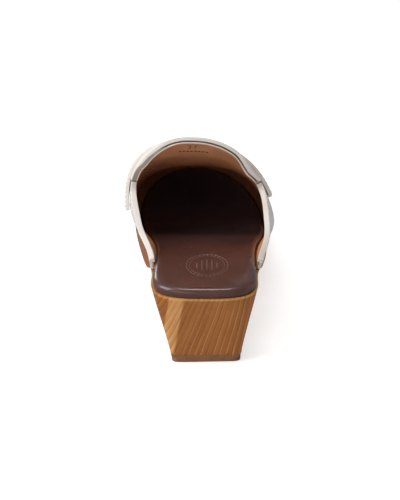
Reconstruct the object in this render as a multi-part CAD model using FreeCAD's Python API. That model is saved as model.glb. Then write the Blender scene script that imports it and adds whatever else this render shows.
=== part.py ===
import FreeCAD, Part
import math
import os

os.makedirs("parts", exist_ok=True)

# A right-foot wooden clog in EU size 37, in millimetres.
# +Y runs from the heel to the toe, +X to the outer side of the foot, +Z up.
# The code works with y = 0 at the back of the heel seat and z = 0 on the ground.

# ---- whole shoe -------------------------------------------------------------
# Shift that puts the origin under the centre of the finished bounding box.
CENTRE_X = -3.56
CENTRE_Y = 121.79

# ---- plan of the foot bed: half widths either side of x = 0, against y ------
HEEL_CENTRE_Y = 24.0
HEEL_SQUARENESS = 3.0
TOE_CENTRE_Y = 165.0
TOE_TIP_Y = 240.0
TOE_ROUNDNESS = 2.2
TOE_INWARD_SHIFT = 5.0
TOE_INWARD_POWER = 1.5
INNER_HALF_WIDTH = [(0, 31.4), (24, 31.4), (43, 30.4), (59, 29.2), (85, 30.6), (110, 34.9), (140, 39.3),
                    (165, 41.5), (181, 41.7), (260, 41.7)]
OUTER_HALF_WIDTH = [(0, 30.4), (24, 30.4), (43, 30.4), (56, 30.3), (80, 32.0), (110, 36.6), (130, 38.0),
                    (165, 36.9), (181, 36.2), (260, 36.2)]

# ---- foot bed height and the foot form above it, against y ------------------
FOOT_BED_Z = [(-20, 50.9), (0, 50.7), (30, 50.2), (60, 47.7), (90, 41.3), (120, 32.4), (150, 25.0),
              (180, 21.3), (210, 21.0), (235, 23.0), (265, 28.0)]
FORM_HEIGHT = [(0, 62.3), (95, 62.3), (103, 62.0), (112, 57.5), (120, 52.0), (130, 47.0), (150, 39.0),
               (180, 30.0), (200, 26.0), (220, 23.0), (260, 20.0)]
INNER_BULGE = [(20, 0.0), (40, 0.8), (55, 4.8), (68, 7.0), (80, 7.7), (105, 6.9), (130, 5.0), (165, 3.0),
               (260, 1.8)]
OUTER_BULGE = [(20, 2.0), (40, 4.5), (55, 7.6), (68, 8.2), (80, 8.0), (105, 6.9), (130, 5.0), (165, 3.0),
               (260, 1.8)]
FORM_LEAN = [(0, -11.5), (100, -11.5), (130, -9.5), (165, -4.5), (200, -2.0), (260, 0.0)]
FORM_ROUNDNESS = 2.6
BULGE_REACH = 9.0

# ---- sole -------------------------------------------------------------------
INSOLE_STACK = 6.0
LIFT_THICKNESS = 4.8
OUTSOLE_THICKNESS = 3.0
LAYER_GAP = 0.05
HEEL_BOTTOM_HALF_WIDTH = 20.0
HEEL_TOP_HALF_WIDTH = 31.4
HEEL_BOTTOM_SHIFT = 1.0
HEEL_TOP_Z = 44.7
HEEL_TAPER_POWER = 1.25
HEEL_TAPER_LIMIT = 1.2
HEEL_TAPER_END_Y = 112.0
HEEL_BACK_INSET = 6.0
HEEL_BOTTOM_SQUARENESS = 11.0
HEEL_TURN_DEGREES = 2.5
BREAST_Y = 54.0
SOLE_MARGIN_HEEL = 1.2
SOLE_MARGIN_FORE = 4.8
# The outer side of the forepart is cut closer to the leather than the inner side.
OUTER_SIDE_TRIM = 2.8
MARGIN_START_Y = 28.0
MARGIN_END_Y = 58.0
# The side of the forepart draws in toward the ground, starting at this height.
FORE_UNDERCUT = 16.0
FORE_UNDERCUT_Z = 20.0
OUTSOLE_BACK_Y = 127.0
# Underside of the wood in side view; it is flat where the shoe treads.
TREAD_START_Y = 146.0
TREAD_END_Y = 176.0
UNDERSIDE = [(57.5, 21.5), (61.0, 26.6), (67.0, 28.0), (78.0, 25.2), (98.0, 16.6), (118.0, 8.6),
             (134.0, 4.2), (TREAD_START_Y, OUTSOLE_THICKNESS), (TREAD_END_Y, OUTSOLE_THICKNESS),
             (196.0, 3.9), (215.0, 5.8), (236.0, 9.4), (256.0, 13.6)]
# Heights of the plan outlines that the block of the sole is lofted through.
OUTLINE_HEIGHTS = [62.0, 52.0, HEEL_TOP_Z, 36.0, 28.0, FORE_UNDERCUT_Z, 14.0, 9.0, 4.5, 0.0, -3.0]

# ---- nails that hold the heel lift ------------------------------------------
NAIL_PLACES = [(-11.5, 15.0), (11.5, 15.0), (-11.5, 43.0), (11.5, 43.0), (0.0, 29.0)]
NAIL_SHANK_RADIUS = 0.9
NAIL_HEAD_RADIUS = 2.0
NAIL_HEAD_HEIGHT = 1.2
NAIL_LENGTH = 17.0
NAIL_SINK = 0.3
NAIL_CLEARANCE = 0.04
NAIL_HOLE_OVERRUN = 1.0

# ---- foot bed layers --------------------------------------------------------
BOARD_THICKNESS = 1.85
COVER_THICKNESS = 1.1
COVER_SKIRT = 1.4
COVER_OVERRUN = 5.0

# ---- upper: layers measured outward from the foot form ----------------------
LINING_IN = 0.15
LINING_OUT = 0.95
EDGE_STRIP_OUT = 1.15
TONGUE_IN = 1.35
LEATHER_IN = 1.1
LEATHER_OUT = 2.8
TONGUE_ROLL_OUT = 4.2
STRAP_IN = 3.3
STRAP_OUT = 5.8
EDGE_GAP = 0.25
WALL_LIFT = 0.4

# ---- upper: quarters and their topline band ---------------------------------
QUARTER_BACK_Y = 41.0
SIDE_SEAM_Y = 120.0
THROAT_Y = 106.0
THROAT_BLEND = 5.0
BAND_FRONT_Y = 110.0
BAND_DEPTH = 2.6
# Ahead of the band the side leathers rise to meet the tongue under the strap.
BAND_RUN_OUT = 6.0
TOPLINE_RISE = [(38, 1.0), (41, 1.6), (52, 4.0), (68, 9.6), (82, 16.4), (95, 24.6), (103, 32.5), (108, 40.5),
                (114, 41.5), (125, 38.0)]

# ---- upper: apron seam, the line where the vamp wall meets the top pieces ---
SEAM_OUTER_X = [(100, 32.0), (106, 31.5), (124, 28.5), (145, 25.0), (165, 22.5), (260, 22.5)]
SEAM_INNER_X = [(100, 42.9), (106, 42.6), (124, 37.5), (145, 32.0), (165, 29.0), (260, 29.0)]
SEAM_FRONT_REACH = 54.0
SEAM_ROUNDNESS = 2.3
APRON_BACK_Y = 121.0
APRON_CORNER_STATION = 42.0

# ---- upper: tongue with a padded rear edge that curls in at both shoulders --
TONGUE_BACK_Y = 101.5
TONGUE_EDGE_DEPTH = 2.3
TONGUE_ROLL_START_Y = 104.0
TONGUE_ROLL_END_Y = 108.5
CURL_LENGTH = 9.0
CURL_INNER = 3.8
CURL_INNER_SPAN = (0.15, 0.8)
CURL_OUTER = 2.9
CURL_OUTER_SPAN = (0.6, 0.9)
CURL_CORNER_SPAN = (0.88, 1.0)
CURL_CORNER_LOSS = 0.75

# ---- upper: saddle strap ----------------------------------------------------
STRAP_BACK_Y = 113.5
STRAP_END_BACK_Y = 108.5
STRAP_FRONT_Y = 137.0
STRAP_END_FRONT_Y = 131.0
STRAP_OUTER_END_DEGREES = 4.0
STRAP_INNER_END_DEGREES = 185.5

# ---- how the form is traced and sampled -------------------------------------
FAN_LENGTH = 80.0
BISECTION_STEPS = 25
TRACE_LIMIT = 110.0
SLOPE_STEP = 0.02
RAY_ORIGIN_SHARE = 0.6
RAY_ORIGIN_LEVEL = 0.35
RAY_ORIGIN_LEAN = 0.5
STATION_STEP = 1.0
FAN_POINTS = 16
SIDE_POINTS = 12
HEEL_POINTS = 41
CURVE_POINTS = 40
BED_START_Y = -15.0
SOLE_END_Y = 262.0
PRISM_REACH = 70.0
PRISM_BOTTOM_Z = -5.0
PRISM_HEIGHT = 75.0
# Points along and across each leather patch.
QUARTER_GRID = (21, 13)
BAND_GRID = (21, 4)
VAMP_GRID = (41, 13)
APRON_GRID = (17, 17)
TONGUE_GRID = (33, 13)
TONGUE_LINING_GRID = (33, 11)
EDGE_STRIP_GRID = (33, 4)
STRAP_GRID = (33, 7)


def table(points, at):
    """Smooth curve through a short table, flat beyond its two ends."""
    if at <= points[0][0]:
        return points[0][1]
    if at >= points[-1][0]:
        return points[-1][1]
    count = len(points)
    for i in range(count - 1):
        if at <= points[i + 1][0]:
            break
    slopes = []
    for j in (i, i + 1):
        low = max(j - 1, 0)
        high = min(j + 1, count - 1)
        slopes.append((points[high][1] - points[low][1]) / (points[high][0] - points[low][0]))
    step = points[i + 1][0] - points[i][0]
    u = (at - points[i][0]) / step
    return (points[i][1] * (2 * u ** 3 - 3 * u ** 2 + 1) + points[i + 1][1] * (3 * u ** 2 - 2 * u ** 3)
            + slopes[0] * step * (u ** 3 - 2 * u ** 2 + u) + slopes[1] * step * (u ** 3 - u ** 2))


def bed_z(y):
    return table(FOOT_BED_Z, y)


def middle_x(y):
    """The toe swings inward, so the middle of the form leaves x = 0 there."""
    if y <= TOE_CENTRE_Y:
        return 0.0
    return -TOE_INWARD_SHIFT * ((y - TOE_CENTRE_Y) / (TOE_TIP_Y - TOE_CENTRE_Y)) ** TOE_INWARD_POWER


def form_value(x, y, z):
    """Below 1 inside the foot form, 1 on its skin, above 1 outside it."""
    rise = z - bed_z(y)
    level = max(rise, 0.0) / table(FORM_HEIGHT, y)
    spread = 1 - math.exp(-(max(rise + INSOLE_STACK, 0.0) / BULGE_REACH) ** 2)
    across = x - middle_x(y) - table(FORM_LEAN, y) * level
    widths = OUTER_HALF_WIDTH if across > 0 else INNER_HALF_WIDTH
    bulge = table(OUTER_BULGE if across > 0 else INNER_BULGE, y) * spread
    side = abs(across) / (table(widths, y) + bulge)
    ahead = max(y - TOE_CENTRE_Y, 0.0) / (TOE_TIP_Y - TOE_CENTRE_Y + bulge)
    plan = (side ** TOE_ROUNDNESS + ahead ** TOE_ROUNDNESS) ** (1 / TOE_ROUNDNESS)
    return (plan ** FORM_ROUNDNESS + level ** FORM_ROUNDNESS) ** (1 / FORM_ROUNDNESS)


def cross_skin(position, limit):
    """Distance at which a path from inside the form leaves it."""
    low = 0.0
    high = limit
    for _ in range(BISECTION_STEPS):
        middle = (low + high) / 2
        if form_value(*position(middle)) < 1:
            low = middle
        else:
            high = middle
    return (low + high) / 2


def wall_foot(station):
    """Middle-line point and plan heading of a wall station."""
    if abs(station) > FAN_LENGTH:
        return (0.0, TOE_CENTRE_Y - (abs(station) - FAN_LENGTH)), (math.copysign(1.0, station), 0.0)
    turn = math.pi / 2 * station / FAN_LENGTH
    return (0.0, TOE_CENTRE_Y), (math.sin(turn), math.cos(turn))


def wall_point(station, rise):
    """Point on the side of the form: station 0 is the toe tip, negative the inner side."""
    foot, heading = wall_foot(station)

    def position(reach):
        x = foot[0] + reach * heading[0]
        y = foot[1] + reach * heading[1]
        return x, y, bed_z(y) + rise

    reach = cross_skin(position, TRACE_LIMIT)
    x = foot[0] + reach * heading[0]
    y = foot[1] + reach * heading[1]
    return FreeCAD.Vector(x, y, bed_z(y) + rise)


def station_of(side, y):
    return side * (FAN_LENGTH + TOE_CENTRE_Y - y)


def wall_y(station):
    """Place along the shoe of a station on one of the straight sides."""
    return TOE_CENTRE_Y - abs(station) + FAN_LENGTH


def arch_point(y, degrees):
    """Point on the form over the foot: 0 degrees is the outer side, 90 straight up, 180 the inner side."""
    centre_x = table(FORM_LEAN, y) * RAY_ORIGIN_LEAN
    centre_z = bed_z(y) + RAY_ORIGIN_LEVEL * table(FORM_HEIGHT, y)
    turn = math.radians(degrees)

    def position(reach):
        return centre_x + reach * math.cos(turn), y, centre_z + reach * math.sin(turn)

    return FreeCAD.Vector(*position(cross_skin(position, TRACE_LIMIT)))


def drop_point(x, y):
    """Point on the top of the form straight above a place in the plan."""
    def position(height):
        return x, y, bed_z(y) + height

    return FreeCAD.Vector(*position(cross_skin(position, TRACE_LIMIT)))


def seam_plan(station):
    """Plan place of the apron seam in line with a wall station."""
    widths = SEAM_OUTER_X if station > 0 else SEAM_INNER_X
    if abs(station) > FAN_LENGTH:
        y = TOE_CENTRE_Y - (abs(station) - FAN_LENGTH)
        return math.copysign(table(widths, y), station), y
    turn = math.pi / 2 * station / FAN_LENGTH
    across = abs(math.sin(turn)) / table(widths, TOE_CENTRE_Y)
    ahead = math.cos(turn) / SEAM_FRONT_REACH
    reach = (across ** SEAM_ROUNDNESS + ahead ** SEAM_ROUNDNESS) ** (-1 / SEAM_ROUNDNESS)
    return reach * math.sin(turn), TOE_CENTRE_Y + reach * math.cos(turn)


def seam_rise(station):
    """Height of the apron seam above the bed, found where the wall meets the seam in plan."""
    target = seam_plan(station)
    top = drop_point(*target)
    return top.z - bed_z(top.y)


def outward(point):
    """Unit direction that leaves the form at a point of its skin."""
    slopes = []
    for axis in ((1, 0, 0), (0, 1, 0), (0, 0, 1)):
        step = FreeCAD.Vector(*axis) * SLOPE_STEP
        slopes.append(form_value(*(point + step)) - form_value(*(point - step)))
    direction = FreeCAD.Vector(*slopes)
    direction.normalize()
    return direction


def skin_face(surface, offset, count):
    """Smooth face through a patch of the form, pushed outward by an offset that may depend on y."""
    columns, rows = count
    grid = []
    for i in range(columns):
        line = []
        for j in range(rows):
            point = surface(i / (columns - 1), j / (rows - 1))
            line.append(point + outward(point) * offset(point.y))
        grid.append(line)
    spline = Part.BSplineSurface()
    spline.interpolate(grid)
    return spline


def leather(surface, inner, outer, count):
    """Closed solid between two offsets of a four-sided patch of the form."""
    low = skin_face(surface, fixed(inner), count)
    high = skin_face(surface, outer if callable(outer) else fixed(outer), count)
    faces = [low.toShape(), high.toShape()]
    for end in (0, 1):
        u_low = low.bounds()[end]
        u_high = high.bounds()[end]
        faces.append(Part.makeRuledSurface(low.uIso(u_low).toShape(), high.uIso(u_high).toShape(), 1))
        v_low = low.bounds()[2 + end]
        v_high = high.bounds()[2 + end]
        faces.append(Part.makeRuledSurface(low.vIso(v_low).toShape(), high.vIso(v_high).toShape(), 1))
    shell = Part.makeShell(faces)
    shell.sewShape()
    solid = Part.makeSolid(shell)
    if solid.Volume < 0:
        solid.reverse()
    return solid


def between(low, high, share):
    return low + (high - low) * share


def wall_patch(first, last, bottom, top):
    """Patch along the wall from one station to another; bottom and top give the rise at a station."""
    known = {}

    def ray(station):
        """Ray origin inside the wall, and the slope angles that reach its bottom and top."""
        if station not in known:
            foot, heading = wall_foot(station)
            base = wall_point(station, 0.0)
            share = RAY_ORIGIN_SHARE
            origin = FreeCAD.Vector(between(foot[0], base.x, share), between(foot[1], base.y, share), 0)
            origin.z = bed_z(origin.y) + RAY_ORIGIN_LEVEL * table(FORM_HEIGHT, origin.y)
            slopes = []
            for rise in (bottom(station), top(station)):
                end = wall_point(station, rise) - origin
                slopes.append(math.atan2(end.z, end.x * heading[0] + end.y * heading[1]))
            known[station] = origin, heading, slopes
        return known[station]

    def surface(u, v):
        origin, heading, slopes = ray(between(first, last, u))
        slope = between(slopes[0], slopes[1], v)

        def position(reach):
            flat = reach * math.cos(slope)
            height = reach * math.sin(slope)
            return origin.x + flat * heading[0], origin.y + flat * heading[1], origin.z + height

        return FreeCAD.Vector(*position(cross_skin(position, TRACE_LIMIT)))

    return surface


def arch_patch(back, front, start, end):
    """Patch over the foot; back and front give y at an angle."""
    def surface(u, v):
        degrees = between(start, end, u)
        return arch_point(between(back(degrees), front(degrees), v), degrees)

    return surface


def fixed(value):
    def same(_):
        return value

    return same


# ---- sole -------------------------------------------------------------------
def heel_drop(z):
    """0 at the top of the heel block, 1 at the ground."""
    return 1 - min(max(z / HEEL_TOP_Z, 0.0), 1.0)


def heel_half_width(z):
    share = min(max(z / HEEL_TOP_Z, 0.0), HEEL_TAPER_LIMIT)
    return between(HEEL_BOTTOM_HALF_WIDTH, HEEL_TOP_HALF_WIDTH, share ** HEEL_TAPER_POWER)


def undercut(z):
    """How far the side of the forepart draws in at a height."""
    return FORE_UNDERCUT * max(1 - max(z, 0.0) / FORE_UNDERCUT_Z, 0.0) ** 2


def smooth(low, high, at):
    share = min(max((at - low) / (high - low), 0.0), 1.0)
    return share * share * (3 - 2 * share)


def side_plan(side, y, z, margin, tapered):
    """Half width of the plan at a height: the heel tapers and the forepart is undercut."""
    widths = OUTER_HALF_WIDTH if side > 0 else INNER_HALF_WIDTH
    half = table(widths, y) + margin(y)
    if not tapered:
        return half
    heel_inset = HEEL_TOP_HALF_WIDTH - heel_half_width(z) - side * HEEL_BOTTOM_SHIFT * heel_drop(z)
    trim = OUTER_SIDE_TRIM if side > 0 else 0.0
    return half - between(heel_inset, undercut(z) + trim, smooth(BREAST_Y, HEEL_TAPER_END_Y, y))


def fan_points(z, grow, trim):
    """Plan points round the toe, from the inner side to the outer side, where the trim is full."""
    points = []
    for i in range(FAN_POINTS):
        station = between(-FAN_LENGTH, FAN_LENGTH, i / FAN_POINTS)
        tip = wall_point(station, -INSOLE_STACK)
        next_tip = wall_point(station + STATION_STEP, -INSOLE_STACK)
        away = FreeCAD.Vector(tip.y - next_tip.y, next_tip.x - tip.x, 0)
        away.normalize()
        reach = grow - trim * smooth(0, FAN_LENGTH, station)
        points.append(FreeCAD.Vector(tip.x + away.x * reach, tip.y + away.y * reach, z))
    return points


def heel_points(z, margin, tapered):
    """Plan points round the back of the heel; lower down it is squarer, shorter and slightly turned."""
    drop = heel_drop(z) if tapered else 0.0
    squareness = between(HEEL_SQUARENESS, HEEL_BOTTOM_SQUARENESS, drop)
    back = HEEL_CENTRE_Y + margin(0.0) - HEEL_BACK_INSET * drop
    skew = math.tan(math.radians(HEEL_TURN_DEGREES * drop))
    points = []
    for i in range(HEEL_POINTS):
        turn = math.pi * i / (HEEL_POINTS - 1)
        side = 1 if turn < math.pi / 2 else -1
        across = abs(math.cos(turn)) / side_plan(side, HEEL_CENTRE_Y, z, margin, tapered)
        behind = math.sin(turn) / back
        reach = (across ** squareness + behind ** squareness) ** (-1 / squareness)
        x = reach * math.cos(turn)
        y = HEEL_CENTRE_Y - reach * math.sin(turn)
        points.append(FreeCAD.Vector(x, y + x * skew * math.sin(turn), z))
    return points


def ring(z, margin, tapered):
    """Closed plan curve of the foot bed, grown by a margin that depends on y."""
    cut = undercut(z) if tapered else 0.0
    trim = OUTER_SIDE_TRIM if tapered else 0.0
    points = fan_points(z, margin(TOE_CENTRE_Y) - cut, trim)
    for i in range(SIDE_POINTS):
        y = between(TOE_CENTRE_Y, HEEL_CENTRE_Y, i / SIDE_POINTS)
        points.append(FreeCAD.Vector(side_plan(1, y, z, margin, tapered), y, z))
    points.extend(heel_points(z, margin, tapered))
    for i in range(1, SIDE_POINTS):
        y = between(HEEL_CENTRE_Y, TOE_CENTRE_Y, i / SIDE_POINTS)
        points.append(FreeCAD.Vector(-side_plan(-1, y, z, margin, tapered), y, z))
    curve = Part.BSplineCurve()
    curve.interpolate(points, PeriodicFlag=True)
    return Part.Wire([curve.toShape()])


def side_edge(chain):
    """Edge in side view: a straight line for two points, a smooth curve for more."""
    points = [FreeCAD.Vector(-PRISM_REACH, y, z) for y, z in chain]
    if len(points) == 2:
        return Part.makeLine(*points)
    curve = Part.BSplineCurve()
    curve.interpolate(points)
    return curve.toShape()


def profile_prism(upper_chains, lower_chains, corners=()):
    """Solid between two side views made of chains; the corners close it behind the lower one."""
    edges = [side_edge(chain) for chain in upper_chains + lower_chains]
    back = [lower_chains[0][0]] + list(corners) + [upper_chains[0][0]]
    for start, end in zip(back[:-1], back[1:]):
        edges.append(side_edge([start, end]))
    edges.append(side_edge([lower_chains[-1][-1], upper_chains[-1][-1]]))
    face = Part.Face(Part.Wire(Part.__sortEdges__(edges)))
    return face.extrude(FreeCAD.Vector(2 * PRISM_REACH, 0, 0))


def sampled(height, first, last):
    """Side-view points of a height curve between two places."""
    places = [between(first, last, i / (CURVE_POINTS - 1)) for i in range(CURVE_POINTS)]
    return [(y, height(y)) for y in places]


def bed_chains(below):
    return [sampled(lambda y: bed_z(y) - below, BED_START_Y, SOLE_END_Y)]


def underside_chains(below, first):
    """The sole's underside from a given place to the toe, with the flat tread as a straight line."""
    def height(y):
        return table(UNDERSIDE, y) - below

    tread = [(TREAD_START_Y, height(TREAD_START_Y)), (TREAD_END_Y, height(TREAD_END_Y))]
    return [sampled(height, first, TREAD_START_Y), tread, sampled(height, TREAD_END_Y, SOLE_END_Y)]


def sole_margin(y):
    return between(SOLE_MARGIN_HEEL, SOLE_MARGIN_FORE, smooth(MARGIN_START_Y, MARGIN_END_Y, y))


def sole_blank():
    """The block the wood, the lift and the outsole are all cut from."""
    return Part.makeLoft([ring(z, sole_margin, True) for z in OUTLINE_HEIGHTS], True, False)


def plan_prism(margin):
    base = Part.Face(ring(PRISM_BOTTOM_Z, margin, False))
    return base.extrude(FreeCAD.Vector(0, 0, PRISM_HEIGHT))


def nails(growth):
    """Five equal nails; with a growth they become the cutters for their own holes, open to the ground."""
    below = NAIL_HOLE_OVERRUN if growth else 0.0
    solids = []
    for x, y in NAIL_PLACES:
        base = FreeCAD.Vector(x, y, NAIL_SINK - below)
        head = Part.makeCylinder(NAIL_HEAD_RADIUS + growth, NAIL_HEAD_HEIGHT + growth + below, base)
        shank = Part.makeCylinder(NAIL_SHANK_RADIUS + growth, NAIL_LENGTH + growth + below, base)
        solids.append(head.fuse(shank))
    return Part.makeCompound(solids)


def build_sole(made):
    blank = sole_blank()
    holes = nails(NAIL_CLEARANCE)
    breast_top_y, breast_top_z = UNDERSIDE[0]
    heel_line = [(BREAST_Y, LIFT_THICKNESS), (BED_START_Y, LIFT_THICKNESS)]
    below_bed = profile_prism(bed_chains(INSOLE_STACK), underside_chains(0.0, breast_top_y), heel_line)
    made["wooden_sole"] = blank.common(below_bed).cut(holes)

    breast_slope = (breast_top_y - BREAST_Y) / (breast_top_z - LIFT_THICKNESS)
    front = BREAST_Y - breast_slope * LIFT_THICKNESS
    corner = FreeCAD.Vector(-PRISM_REACH, BED_START_Y, 0)
    lift = Part.makeBox(2 * PRISM_REACH, front - BED_START_Y, LIFT_THICKNESS - LAYER_GAP, corner)
    made["heel_lift"] = blank.common(lift).cut(holes)
    made["heel_lift_nails"] = nails(0.0)

    top = underside_chains(LAYER_GAP, OUTSOLE_BACK_Y)
    bottom = underside_chains(OUTSOLE_THICKNESS, OUTSOLE_BACK_Y)
    made["forepart_outsole"] = blank.common(profile_prism(top, bottom))


# ---- foot bed ---------------------------------------------------------------
def build_foot_bed(made):
    core = plan_prism(fixed(-COVER_SKIRT - LAYER_GAP))
    full = plan_prism(fixed(0.0))
    hollow = plan_prism(fixed(-COVER_SKIRT))
    board_top = INSOLE_STACK - LAYER_GAP - BOARD_THICKNESS
    foam_top = COVER_THICKNESS + LAYER_GAP

    def layer(body, top, bottom):
        return body.common(profile_prism(bed_chains(top), bed_chains(bottom)))

    made["insole_board"] = layer(core, board_top, INSOLE_STACK - LAYER_GAP)
    made["insole_foam"] = layer(core, foam_top, board_top - LAYER_GAP)
    cover = layer(full, 0.0, INSOLE_STACK - LAYER_GAP)
    made["sock_cover"] = cover.cut(layer(hollow, COVER_THICKNESS, INSOLE_STACK + COVER_OVERRUN))


# ---- upper ------------------------------------------------------------------
def topline(station):
    """Rise of the opening's edge: along the quarter, then up into the apron seam."""
    y = wall_y(station)
    blend = smooth(THROAT_Y - THROAT_BLEND, THROAT_Y, y)
    return between(table(TOPLINE_RISE, y), seam_rise(station), blend)


def build_walls(made):
    floor_rise = fixed(-INSOLE_STACK + WALL_LIFT)

    def under_band(station):
        ahead = smooth(BAND_FRONT_Y, BAND_FRONT_Y + BAND_RUN_OUT, wall_y(station))
        return topline(station) - BAND_DEPTH * (1 - ahead) - EDGE_GAP

    def band_bottom(station):
        return topline(station) - BAND_DEPTH

    def under_apron(station):
        return seam_rise(station) - EDGE_GAP

    for name, side in (("medial", -1), ("lateral", 1)):
        back = station_of(side, QUARTER_BACK_Y)
        wall = wall_patch(back, station_of(side, SIDE_SEAM_Y), floor_rise, under_band)
        made["quarter_" + name] = leather(wall, LEATHER_IN, LEATHER_OUT, QUARTER_GRID)
        made["quarter_lining_" + name] = leather(wall, LINING_IN, LINING_OUT, QUARTER_GRID)
        band = wall_patch(back, station_of(side, BAND_FRONT_Y), band_bottom, topline)
        made["topline_binding_" + name] = leather(band, LINING_IN, LEATHER_OUT, BAND_GRID)
    reach = station_of(1, SIDE_SEAM_Y) - EDGE_GAP
    vamp = wall_patch(-reach, reach, floor_rise, under_apron)
    made["vamp"] = leather(vamp, LEATHER_IN, LEATHER_OUT, VAMP_GRID)
    made["vamp_lining"] = leather(vamp, LINING_IN, LINING_OUT, VAMP_GRID)


def apron_patch(rear_y):
    """Four-sided patch on top of the forefoot, bounded by the seam."""
    rear = station_of(1, rear_y)
    corner = APRON_CORNER_STATION

    def surface(u, v):
        left = seam_plan(between(-rear, -corner, v))
        right = seam_plan(between(rear, corner, v))
        front = seam_plan(between(-corner, corner, u))
        place = []
        for axis in (0, 1):
            rear_line = between(seam_plan(-rear)[axis], seam_plan(rear)[axis], u)
            front_line = between(seam_plan(-corner)[axis], seam_plan(corner)[axis], u)
            lengthways = between(rear_line, front[axis], v)
            corners = between(rear_line, front_line, v)
            place.append(between(left[axis], right[axis], u) + lengthways - corners)
        return drop_point(*place)

    return surface


def curl_depth(u, y):
    """How far the tongue's rear edge bends in: deepest near the shoulders, nothing on top."""
    side = abs(2 * u - 1)
    depth = CURL_INNER * smooth(*CURL_INNER_SPAN, side)
    if u > 0.5:
        depth = CURL_OUTER * smooth(*CURL_OUTER_SPAN, side)
    ahead = min(max((y - TONGUE_BACK_Y) / CURL_LENGTH, 0.0), 1.0)
    return depth * (1 - CURL_CORNER_LOSS * smooth(*CURL_CORNER_SPAN, side)) * (1 - ahead) ** 2


def tongue_patch(back_y, front_y):
    def surface(u, v):
        y = between(back_y, front_y, v)
        point = drop_point(between(-table(SEAM_INNER_X, y), table(SEAM_OUTER_X, y), u), y)
        return point - outward(point) * curl_depth(u, y)

    return surface


def tongue_outer(y):
    """Outer offset of the tongue: thick at its padded rear edge."""
    return between(TONGUE_ROLL_OUT, LEATHER_OUT, smooth(TONGUE_ROLL_START_Y, TONGUE_ROLL_END_Y, y))


def strap_back(degrees):
    return between(STRAP_END_BACK_Y, STRAP_BACK_Y, math.sin(math.radians(degrees)) ** 2)


def strap_front(degrees):
    return between(STRAP_END_FRONT_Y, STRAP_FRONT_Y, math.sin(math.radians(degrees)) ** 2)


def build_top(made):
    made["apron"] = leather(apron_patch(APRON_BACK_Y + EDGE_GAP), LEATHER_IN, LEATHER_OUT, APRON_GRID)
    made["apron_lining"] = leather(apron_patch(APRON_BACK_Y + EDGE_GAP), LINING_IN, LINING_OUT, APRON_GRID)
    made["tongue"] = leather(tongue_patch(TONGUE_BACK_Y, APRON_BACK_Y), TONGUE_IN, tongue_outer, TONGUE_GRID)
    strip_front_y = TONGUE_BACK_Y + TONGUE_EDGE_DEPTH
    lining = tongue_patch(strip_front_y + EDGE_GAP, APRON_BACK_Y)
    made["tongue_lining"] = leather(lining, LINING_IN, LINING_OUT, TONGUE_LINING_GRID)
    strip = tongue_patch(TONGUE_BACK_Y, strip_front_y)
    made["tongue_edge_binding"] = leather(strip, LINING_IN, EDGE_STRIP_OUT, EDGE_STRIP_GRID)
    strap = arch_patch(strap_back, strap_front, STRAP_OUTER_END_DEGREES, STRAP_INNER_END_DEGREES)
    made["saddle_strap"] = leather(strap, STRAP_IN, STRAP_OUT, STRAP_GRID)


def save(node, shape):
    moved = shape.copy()
    moved.translate(FreeCAD.Vector(-CENTRE_X, -CENTRE_Y, 0))
    moved.exportStep("parts/" + node + ".step")
    sound = "ok" if moved.isValid() else "NOT VALID"
    print(node, sound, "solids", len(moved.Solids), "volume", round(moved.Volume / 1000, 2))


def main():
    made = {}
    build_sole(made)
    build_foot_bed(made)
    build_walls(made)
    build_top(made)
    for node, shape in made.items():
        save(node, shape)


main()
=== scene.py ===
import math

import bmesh
import bpy
import numpy as np
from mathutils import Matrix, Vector


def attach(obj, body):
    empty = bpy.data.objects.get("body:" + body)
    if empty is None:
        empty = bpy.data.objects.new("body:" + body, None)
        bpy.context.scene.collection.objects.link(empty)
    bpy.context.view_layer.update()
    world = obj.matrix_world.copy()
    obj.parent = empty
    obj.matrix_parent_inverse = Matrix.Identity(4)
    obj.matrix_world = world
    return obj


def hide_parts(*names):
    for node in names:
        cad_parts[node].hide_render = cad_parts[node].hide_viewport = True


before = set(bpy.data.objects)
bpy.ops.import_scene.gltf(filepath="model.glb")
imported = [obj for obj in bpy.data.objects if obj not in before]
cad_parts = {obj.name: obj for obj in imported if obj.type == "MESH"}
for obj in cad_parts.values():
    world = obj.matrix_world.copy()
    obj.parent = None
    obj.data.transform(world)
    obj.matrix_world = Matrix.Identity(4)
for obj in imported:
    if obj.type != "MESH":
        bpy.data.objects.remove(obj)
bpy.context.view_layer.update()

# A right-foot wooden clog. Working lengths are millimetres, with y = 0 at the back of the heel
# seat and z = 0 on the ground; make() moves them to the frame's origin and to metres.
CENTRE = Vector((-3.56, 121.79, 0.0))
MM = 0.001

# ---- measures of the clog ---------------------------------------------------
HEEL_CENTRE_Y, HEEL_SQUARENESS = 24.0, 3.0
TOE_CENTRE_Y, TOE_TIP_Y, TOE_ROUNDNESS = 165.0, 240.0, 2.2
TOE_INWARD_SHIFT, TOE_INWARD_POWER = 5.0, 1.5
INNER_HALF_WIDTH = [(0, 31.4), (24, 31.4), (43, 30.4), (59, 29.2), (85, 30.6), (110, 34.9), (140, 39.3),
                    (165, 41.5), (181, 41.7), (260, 41.7)]
OUTER_HALF_WIDTH = [(0, 30.4), (24, 30.4), (43, 30.4), (56, 30.3), (80, 32.0), (110, 36.6), (130, 38.0),
                    (165, 36.9), (181, 36.2), (260, 36.2)]
FOOT_BED_Z = [(-20, 50.9), (0, 50.7), (30, 50.2), (60, 47.7), (90, 41.3), (120, 32.4), (150, 25.0),
              (180, 21.3), (210, 21.0), (235, 23.0), (265, 28.0)]
FORM_HEIGHT = [(0, 62.3), (95, 62.3), (103, 62.0), (112, 57.5), (120, 52.0), (130, 47.0), (150, 39.0),
               (180, 30.0), (200, 26.0), (220, 23.0), (260, 20.0)]
INNER_BULGE = [(20, 0.0), (40, 0.8), (55, 4.8), (68, 7.0), (80, 7.7), (105, 6.9), (130, 5.0), (165, 3.0),
               (260, 1.8)]
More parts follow.
